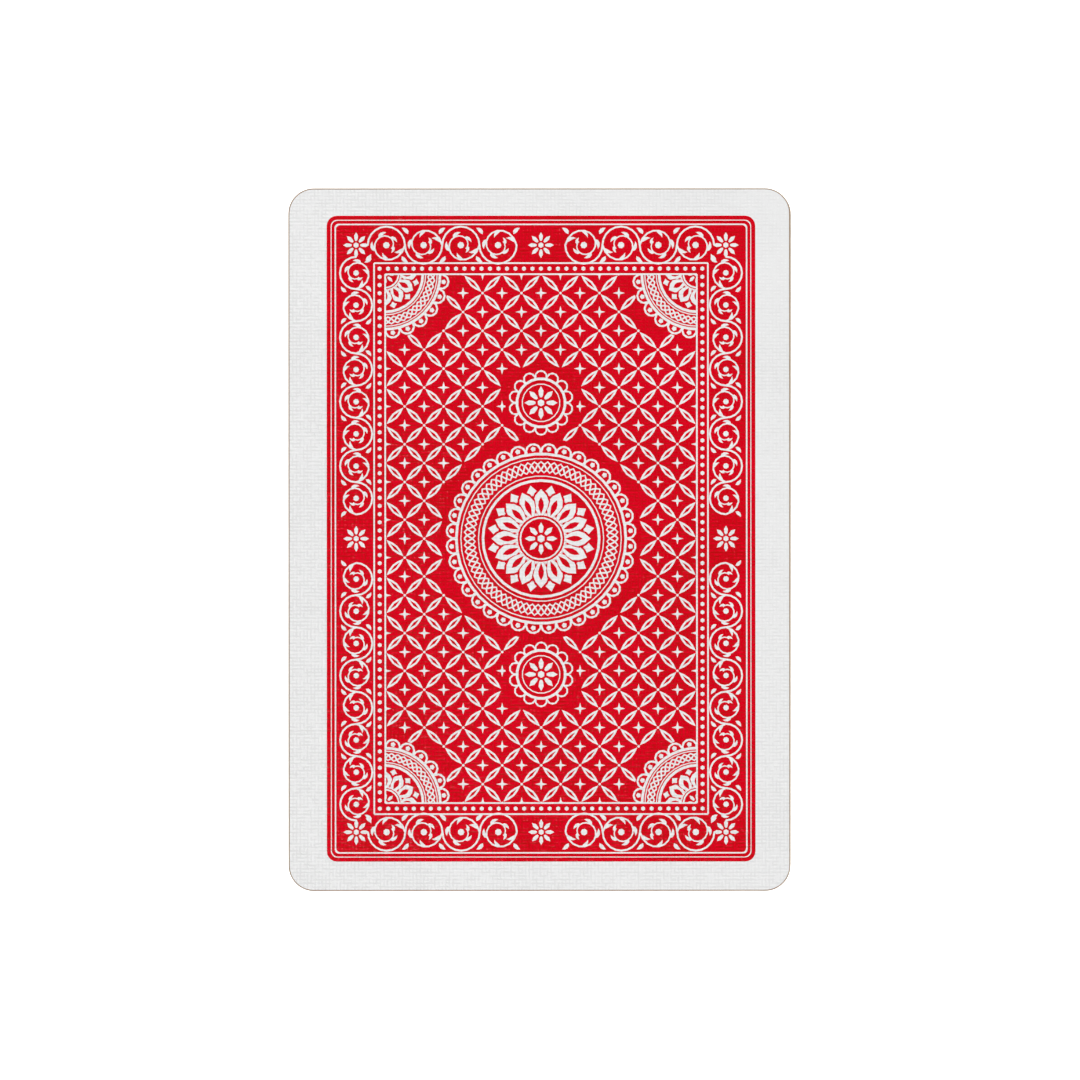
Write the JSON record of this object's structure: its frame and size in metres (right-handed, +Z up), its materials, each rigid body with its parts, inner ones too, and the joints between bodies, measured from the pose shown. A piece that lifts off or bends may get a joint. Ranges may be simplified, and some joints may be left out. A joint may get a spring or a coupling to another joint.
{
  "type": "playing card deck",
  "caption": "Squared deck of poker-size playing cards lying face down, with red ornamental backs. The cards fan out, the upper packet lifts off to cut, and the top card deals.",
  "frame": {"origin": "on the table, under the middle of the squared deck", "axes": "+X across the cards, +Y along them to the far short edge, +Z up through the pile; the backs face +Z"},
  "size_m": [0.0638, 0.0892, 0.0162],
  "materials": {
    "card_stock": "linen-embossed satin coating"
  },
  "bodies": {
    "ace_of_spades": {"ace_of_spades": "card_stock"},
    "two_of_spades": {"two_of_spades": "card_stock"},
    "three_of_spades": {"three_of_spades": "card_stock"},
    "four_of_spades": {"four_of_spades": "card_stock"},
    "five_of_spades": {"five_of_spades": "card_stock"},
    "six_of_spades": {"six_of_spades": "card_stock"},
    "seven_of_spades": {"seven_of_spades": "card_stock"},
    "eight_of_spades": {"eight_of_spades": "card_stock"},
    "nine_of_spades": {"nine_of_spades": "card_stock"},
    "ten_of_spades": {"ten_of_spades": "card_stock"},
    "jack_of_spades": {"jack_of_spades": "card_stock"},
    "queen_of_spades": {"queen_of_spades": "card_stock"},
    "king_of_spades": {"king_of_spades": "card_stock"},
    "ace_of_diamonds": {"ace_of_diamonds": "card_stock"},
    "two_of_diamonds": {"two_of_diamonds": "card_stock"},
    "three_of_diamonds": {"three_of_diamonds": "card_stock"},
    "four_of_diamonds": {"four_of_diamonds": "card_stock"},
    "five_of_diamonds": {"five_of_diamonds": "card_stock"},
    "six_of_diamonds": {"six_of_diamonds": "card_stock"},
    "seven_of_diamonds": {"seven_of_diamonds": "card_stock"},
    "eight_of_diamonds": {"eight_of_diamonds": "card_stock"},
    "nine_of_diamonds": {"nine_of_diamonds": "card_stock"},
    "ten_of_diamonds": {"ten_of_diamonds": "card_stock"},
    "jack_of_diamonds": {"jack_of_diamonds": "card_stock"},
    "queen_of_diamonds": {"queen_of_diamonds": "card_stock"},
    "king_of_diamonds": {"king_of_diamonds": "card_stock"},
    "king_of_clubs": {"king_of_clubs": "card_stock"},
    "queen_of_clubs": {"queen_of_clubs": "card_stock"},
    "jack_of_clubs": {"jack_of_clubs": "card_stock"},
    "ten_of_clubs": {"ten_of_clubs": "card_stock"},
    "nine_of_clubs": {"nine_of_clubs": "card_stock"},
    "eight_of_clubs": {"eight_of_clubs": "card_stock"},
    "seven_of_clubs": {"seven_of_clubs": "card_stock"},
    "six_of_clubs": {"six_of_clubs": "card_stock"},
    "five_of_clubs": {"five_of_clubs": "card_stock"},
    "four_of_clubs": {"four_of_clubs": "card_stock"},
    "three_of_clubs": {"three_of_clubs": "card_stock"},
    "two_of_clubs": {"two_of_clubs": "card_stock"},
    "ace_of_clubs": {"ace_of_clubs": "card_stock"},
    "king_of_hearts": {"king_of_hearts": "card_stock"},
    "queen_of_hearts": {"queen_of_hearts": "card_stock"},
    "jack_of_hearts": {"jack_of_hearts": "card_stock"},
    "ten_of_hearts": {"ten_of_hearts": "card_stock"},
    "nine_of_hearts": {"nine_of_hearts": "card_stock"},
    "eight_of_hearts": {"eight_of_hearts": "card_stock"},
    "seven_of_hearts": {"seven_of_hearts": "card_stock"},
    "six_of_hearts": {"six_of_hearts": "card_stock"},
    "five_of_hearts": {"five_of_hearts": "card_stock"},
    "four_of_hearts": {"four_of_hearts": "card_stock"},
    "three_of_hearts": {"three_of_hearts": "card_stock"},
    "two_of_hearts": {"two_of_hearts": "card_stock"},
    "ace_of_hearts": {"ace_of_hearts": "card_stock"},
    "joker_black": {"joker_black": "card_stock"},
    "joker_red": {"joker_red": "card_stock"}
  },
  "joints": [
    {"name": "fan", "type": "hinge", "parent": "king_of_clubs", "child": "joker_black", "pos_m": [0, -0.02445, 0], "axis": [0, 0, -1], "range_deg": [0, 84.5]},
    {"name": "fan_ace_of_spades", "type": "hinge", "parent": "king_of_diamonds", "child": "ace_of_spades", "pos_m": [0, -0.02445, 0], "axis": [0, 0, -1], "range_deg": [-81.25, 0]},
    {"name": "fan_two_of_spades", "type": "hinge", "parent": "king_of_diamonds", "child": "two_of_spades", "pos_m": [0, -0.02445, 0], "axis": [0, 0, -1], "range_deg": [-78, 0]},
    {"name": "fan_three_of_spades", "type": "hinge", "parent": "king_of_diamonds", "child": "three_of_spades", "pos_m": [0, -0.02445, 0], "axis": [0, 0, -1], "range_deg": [-74.75, 0]},
    {"name": "fan_four_of_spades", "type": "hinge", "parent": "king_of_diamonds", "child": "four_of_spades", "pos_m": [0, -0.02445, 0], "axis": [0, 0, -1], "range_deg": [-71.5, 0]},
    {"name": "fan_five_of_spades", "type": "hinge", "parent": "king_of_diamonds", "child": "five_of_spades", "pos_m": [0, -0.02445, 0], "axis": [0, 0, -1], "range_deg": [-68.25, 0]},
    {"name": "fan_six_of_spades", "type": "hinge", "parent": "king_of_diamonds", "child": "six_of_spades", "pos_m": [0, -0.02445, 0], "axis": [0, 0, -1], "range_deg": [-65, 0]},
    {"name": "fan_seven_of_spades", "type": "hinge", "parent": "king_of_diamonds", "child": "seven_of_spades", "pos_m": [0, -0.02445, 0], "axis": [0, 0, -1], "range_deg": [-61.75, 0]},
    {"name": "fan_eight_of_spades", "type": "hinge", "parent": "king_of_diamonds", "child": "eight_of_spades", "pos_m": [0, -0.02445, 0], "axis": [0, 0, -1], "range_deg": [-58.5, 0]},
    {"name": "fan_nine_of_spades", "type": "hinge", "parent": "king_of_diamonds", "child": "nine_of_spades", "pos_m": [0, -0.02445, 0], "axis": [0, 0, -1], "range_deg": [-55.25, 0]},
    {"name": "fan_ten_of_spades", "type": "hinge", "parent": "king_of_diamonds", "child": "ten_of_spades", "pos_m": [0, -0.02445, 0], "axis": [0, 0, -1], "range_deg": [-52, 0]},
    {"name": "fan_jack_of_spades", "type": "hinge", "parent": "king_of_diamonds", "child": "jack_of_spades", "pos_m": [0, -0.02445, 0], "axis": [0, 0, -1], "range_deg": [-48.75, 0]},
    {"name": "fan_queen_of_spades", "type": "hinge", "parent": "king_of_diamonds", "child": "queen_of_spades", "pos_m": [0, -0.02445, 0], "axis": [0, 0, -1], "range_deg": [-45.5, 0]},
    {"name": "fan_king_of_spades", "type": "hinge", "parent": "king_of_diamonds", "child": "king_of_spades", "pos_m": [0, -0.02445, 0], "axis": [0, 0, -1], "range_deg": [-42.25, 0]},
    {"name": "fan_ace_of_diamonds", "type": "hinge", "parent": "king_of_diamonds", "child": "ace_of_diamonds", "pos_m": [0, -0.02445, 0], "axis": [0, 0, -1], "range_deg": [-39, 0]},
    {"name": "fan_two_of_diamonds", "type": "hinge", "parent": "king_of_diamonds", "child": "two_of_diamonds", "pos_m": [0, -0.02445, 0], "axis": [0, 0, -1], "range_deg": [-35.75, 0]},
    {"name": "fan_three_of_diamonds", "type": "hinge", "parent": "king_of_diamonds", "child": "three_of_diamonds", "pos_m": [0, -0.02445, 0], "axis": [0, 0, -1], "range_deg": [-32.5, 0]},
    {"name": "fan_four_of_diamonds", "type": "hinge", "parent": "king_of_diamonds", "child": "four_of_diamonds", "pos_m": [0, -0.02445, 0], "axis": [0, 0, -1], "range_deg": [-29.25, 0]},
    {"name": "fan_five_of_diamonds", "type": "hinge", "parent": "king_of_diamonds", "child": "five_of_diamonds", "pos_m": [0, -0.02445, 0], "axis": [0, 0, -1], "range_deg": [-26, 0]},
    {"name": "fan_six_of_diamonds", "type": "hinge", "parent": "king_of_diamonds", "child": "six_of_diamonds", "pos_m": [0, -0.02445, 0], "axis": [0, 0, -1], "range_deg": [-22.75, 0]},
    {"name": "fan_seven_of_diamonds", "type": "hinge", "parent": "king_of_diamonds", "child": "seven_of_diamonds", "pos_m": [0, -0.02445, 0], "axis": [0, 0, -1], "range_deg": [-19.5, 0]},
    {"name": "fan_eight_of_diamonds", "type": "hinge", "parent": "king_of_diamonds", "child": "eight_of_diamonds", "pos_m": [0, -0.02445, 0], "axis": [0, 0, -1], "range_deg": [-16.25, 0]},
    {"name": "fan_nine_of_diamonds", "type": "hinge", "parent": "king_of_diamonds", "child": "nine_of_diamonds", "pos_m": [0, -0.02445, 0], "axis": [0, 0, -1], "range_deg": [-13, 0]},
    {"name": "fan_ten_of_diamonds", "type": "hinge", "parent": "king_of_diamonds", "child": "ten_of_diamonds", "pos_m": [0, -0.02445, 0], "axis": [0, 0, -1], "range_deg": [-9.75, 0]},
    {"name": "fan_jack_of_diamonds", "type": "hinge", "parent": "king_of_diamonds", "child": "jack_of_diamonds", "pos_m": [0, -0.02445, 0], "axis": [0, 0, -1], "range_deg": [-6.5, 0]},
    {"name": "fan_queen_of_diamonds", "type": "hinge", "parent": "king_of_diamonds", "child": "queen_of_diamonds", "pos_m": [0, -0.02445, 0], "axis": [0, 0, -1], "range_deg": [-3.25, 0]},
    {"name": "fan_queen_of_clubs", "type": "hinge", "parent": "king_of_clubs", "child": "queen_of_clubs", "pos_m": [0, -0.02445, 0], "axis": [0, 0, -1], "range_deg": [0, 3.25]},
    {"name": "fan_jack_of_clubs", "type": "hinge", "parent": "king_of_clubs", "child": "jack_of_clubs", "pos_m": [0, -0.02445, 0], "axis": [0, 0, -1], "range_deg": [0, 6.5]},
    {"name": "fan_ten_of_clubs", "type": "hinge", "parent": "king_of_clubs", "child": "ten_of_clubs", "pos_m": [0, -0.02445, 0], "axis": [0, 0, -1], "range_deg": [0, 9.75]},
    {"name": "fan_nine_of_clubs", "type": "hinge", "parent": "king_of_clubs", "child": "nine_of_clubs", "pos_m": [0, -0.02445, 0], "axis": [0, 0, -1], "range_deg": [0, 13]},
    {"name": "fan_eight_of_clubs", "type": "hinge", "parent": "king_of_clubs", "child": "eight_of_clubs", "pos_m": [0, -0.02445, 0], "axis": [0, 0, -1], "range_deg": [0, 16.25]},
    {"name": "fan_seven_of_clubs", "type": "hinge", "parent": "king_of_clubs", "child": "seven_of_clubs", "pos_m": [0, -0.02445, 0], "axis": [0, 0, -1], "range_deg": [0, 19.5]},
    {"name": "fan_six_of_clubs", "type": "hinge", "parent": "king_of_clubs", "child": "six_of_clubs", "pos_m": [0, -0.02445, 0], "axis": [0, 0, -1], "range_deg": [0, 22.75]},
    {"name": "fan_five_of_clubs", "type": "hinge", "parent": "king_of_clubs", "child": "five_of_clubs", "pos_m": [0, -0.02445, 0], "axis": [0, 0, -1], "range_deg": [0, 26]},
    {"name": "fan_four_of_clubs", "type": "hinge", "parent": "king_of_clubs", "child": "four_of_clubs", "pos_m": [0, -0.02445, 0], "axis": [0, 0, -1], "range_deg": [0, 29.25]},
    {"name": "fan_three_of_clubs", "type": "hinge", "parent": "king_of_clubs", "child": "three_of_clubs", "pos_m": [0, -0.02445, 0], "axis": [0, 0, -1], "range_deg": [0, 32.5]},
    {"name": "fan_two_of_clubs", "type": "hinge", "parent": "king_of_clubs", "child": "two_of_clubs", "pos_m": [0, -0.02445, 0], "axis": [0, 0, -1], "range_deg": [0, 35.75]},
    {"name": "fan_ace_of_clubs", "type": "hinge", "parent": "king_of_clubs", "child": "ace_of_clubs", "pos_m": [0, -0.02445, 0], "axis": [0, 0, -1], "range_deg": [0, 39]},
    {"name": "fan_king_of_hearts", "type": "hinge", "parent": "king_of_clubs", "child": "king_of_hearts", "pos_m": [0, -0.02445, 0], "axis": [0, 0, -1], "range_deg": [0, 42.25]},
    {"name": "fan_queen_of_hearts", "type": "hinge", "parent": "king_of_clubs", "child": "queen_of_hearts", "pos_m": [0, -0.02445, 0], "axis": [0, 0, -1], "range_deg": [0, 45.5]},
    {"name": "fan_jack_of_hearts", "type": "hinge", "parent": "king_of_clubs", "child": "jack_of_hearts", "pos_m": [0, -0.02445, 0], "axis": [0, 0, -1], "range_deg": [0, 48.75]},
    {"name": "fan_ten_of_hearts", "type": "hinge", "parent": "king_of_clubs", "child": "ten_of_hearts", "pos_m": [0, -0.02445, 0], "axis": [0, 0, -1], "range_deg": [0, 52]},
    {"name": "fan_nine_of_hearts", "type": "hinge", "parent": "king_of_clubs", "child": "nine_of_hearts", "pos_m": [0, -0.02445, 0], "axis": [0, 0, -1], "range_deg": [0, 55.25]},
    {"name": "fan_eight_of_hearts", "type": "hinge", "parent": "king_of_clubs", "child": "eight_of_hearts", "pos_m": [0, -0.02445, 0], "axis": [0, 0, -1], "range_deg": [0, 58.5]},
    {"name": "fan_seven_of_hearts", "type": "hinge", "parent": "king_of_clubs", "child": "seven_of_hearts", "pos_m": [0, -0.02445, 0], "axis": [0, 0, -1], "range_deg": [0, 61.75]},
    {"name": "fan_six_of_hearts", "type": "hinge", "parent": "king_of_clubs", "child": "six_of_hearts", "pos_m": [0, -0.02445, 0], "axis": [0, 0, -1], "range_deg": [0, 65]},
    {"name": "fan_five_of_hearts", "type": "hinge", "parent": "king_of_clubs", "child": "five_of_hearts", "pos_m": [0, -0.02445, 0], "axis": [0, 0, -1], "range_deg": [0, 68.25]},
    {"name": "fan_four_of_hearts", "type": "hinge", "parent": "king_of_clubs", "child": "four_of_hearts", "pos_m": [0, -0.02445, 0], "axis": [0, 0, -1], "range_deg": [0, 71.5]},
    {"name": "fan_three_of_hearts", "type": "hinge", "parent": "king_of_clubs", "child": "three_of_hearts", "pos_m": [0, -0.02445, 0], "axis": [0, 0, -1], "range_deg": [0, 74.75]},
    {"name": "fan_two_of_hearts", "type": "hinge", "parent": "king_of_clubs", "child": "two_of_hearts", "pos_m": [0, -0.02445, 0], "axis": [0, 0, -1], "range_deg": [0, 78]},
    {"name": "fan_ace_of_hearts", "type": "hinge", "parent": "king_of_clubs", "child": "ace_of_hearts", "pos_m": [0, -0.02445, 0], "axis": [0, 0, -1], "range_deg": [0, 81.25]},
    {"name": "cut", "type": "slide", "parent": "king_of_diamonds", "child": "king_of_clubs", "axis": [0, 0, 1], "range_m": [0, 0.06]},
    {"name": "deal", "type": "slide", "parent": "joker_black", "child": "joker_red", "axis": [1, 0, 0], "range_m": [0, 0.07]}
  ],
  "couplings": [
    {"joint": "fan_ace_of_spades", "follows": "fan", "ratio": -0.96154},
    {"joint": "fan_two_of_spades", "follows": "fan", "ratio": -0.92308},
    {"joint": "fan_three_of_spades", "follows": "fan", "ratio": -0.88462},
    {"joint": "fan_four_of_spades", "follows": "fan", "ratio": -0.84615},
    {"joint": "fan_five_of_spades", "follows": "fan", "ratio": -0.80769},
    {"joint": "fan_six_of_spades", "follows": "fan", "ratio": -0.76923},
    {"joint": "fan_seven_of_spades", "follows": "fan", "ratio": -0.73077},
    {"joint": "fan_eight_of_spades", "follows": "fan", "ratio": -0.69231},
    {"joint": "fan_nine_of_spades", "follows": "fan", "ratio": -0.65385},
    {"joint": "fan_ten_of_spades", "follows": "fan", "ratio": -0.61538},
    {"joint": "fan_jack_of_spades", "follows": "fan", "ratio": -0.57692},
    {"joint": "fan_queen_of_spades", "follows": "fan", "ratio": -0.53846},
    {"joint": "fan_king_of_spades", "follows": "fan", "ratio": -0.5},
    {"joint": "fan_ace_of_diamonds", "follows": "fan", "ratio": -0.46154},
    {"joint": "fan_two_of_diamonds", "follows": "fan", "ratio": -0.42308},
    {"joint": "fan_three_of_diamonds", "follows": "fan", "ratio": -0.38462},
    {"joint": "fan_four_of_diamonds", "follows": "fan", "ratio": -0.34615},
    {"joint": "fan_five_of_diamonds", "follows": "fan", "ratio": -0.30769},
    {"joint": "fan_six_of_diamonds", "follows": "fan", "ratio": -0.26923},
    {"joint": "fan_seven_of_diamonds", "follows": "fan", "ratio": -0.23077},
    {"joint": "fan_eight_of_diamonds", "follows": "fan", "ratio": -0.19231},
    {"joint": "fan_nine_of_diamonds", "follows": "fan", "ratio": -0.15385},
    {"joint": "fan_ten_of_diamonds", "follows": "fan", "ratio": -0.11538},
    {"joint": "fan_jack_of_diamonds", "follows": "fan", "ratio": -0.076923},
    {"joint": "fan_queen_of_diamonds", "follows": "fan", "ratio": -0.038462},
    {"joint": "fan_queen_of_clubs", "follows": "fan", "ratio": 0.038462},
    {"joint": "fan_jack_of_clubs", "follows": "fan", "ratio": 0.076923},
    {"joint": "fan_ten_of_clubs", "follows": "fan", "ratio": 0.11538},
    {"joint": "fan_nine_of_clubs", "follows": "fan", "ratio": 0.15385},
    {"joint": "fan_eight_of_clubs", "follows": "fan", "ratio": 0.19231},
    {"joint": "fan_seven_of_clubs", "follows": "fan", "ratio": 0.23077},
    {"joint": "fan_six_of_clubs", "follows": "fan", "ratio": 0.26923},
    {"joint": "fan_five_of_clubs", "follows": "fan", "ratio": 0.30769},
    {"joint": "fan_four_of_clubs", "follows": "fan", "ratio": 0.34615},
    {"joint": "fan_three_of_clubs", "follows": "fan", "ratio": 0.38462},
    {"joint": "fan_two_of_clubs", "follows": "fan", "ratio": 0.42308},
    {"joint": "fan_ace_of_clubs", "follows": "fan", "ratio": 0.46154},
    {"joint": "fan_king_of_hearts", "follows": "fan", "ratio": 0.5},
    {"joint": "fan_queen_of_hearts", "follows": "fan", "ratio": 0.53846},
    {"joint": "fan_jack_of_hearts", "follows": "fan", "ratio": 0.57692},
    {"joint": "fan_ten_of_hearts", "follows": "fan", "ratio": 0.61538},
    {"joint": "fan_nine_of_hearts", "follows": "fan", "ratio": 0.65385},
    {"joint": "fan_eight_of_hearts", "follows": "fan", "ratio": 0.69231},
    {"joint": "fan_seven_of_hearts", "follows": "fan", "ratio": 0.73077},
    {"joint": "fan_six_of_hearts", "follows": "fan", "ratio": 0.76923},
    {"joint": "fan_five_of_hearts", "follows": "fan", "ratio": 0.80769},
    {"joint": "fan_four_of_hearts", "follows": "fan", "ratio": 0.84615},
    {"joint": "fan_three_of_hearts", "follows": "fan", "ratio": 0.88462},
    {"joint": "fan_two_of_hearts", "follows": "fan", "ratio": 0.92308},
    {"joint": "fan_ace_of_hearts", "follows": "fan", "ratio": 0.96154}
  ]
}
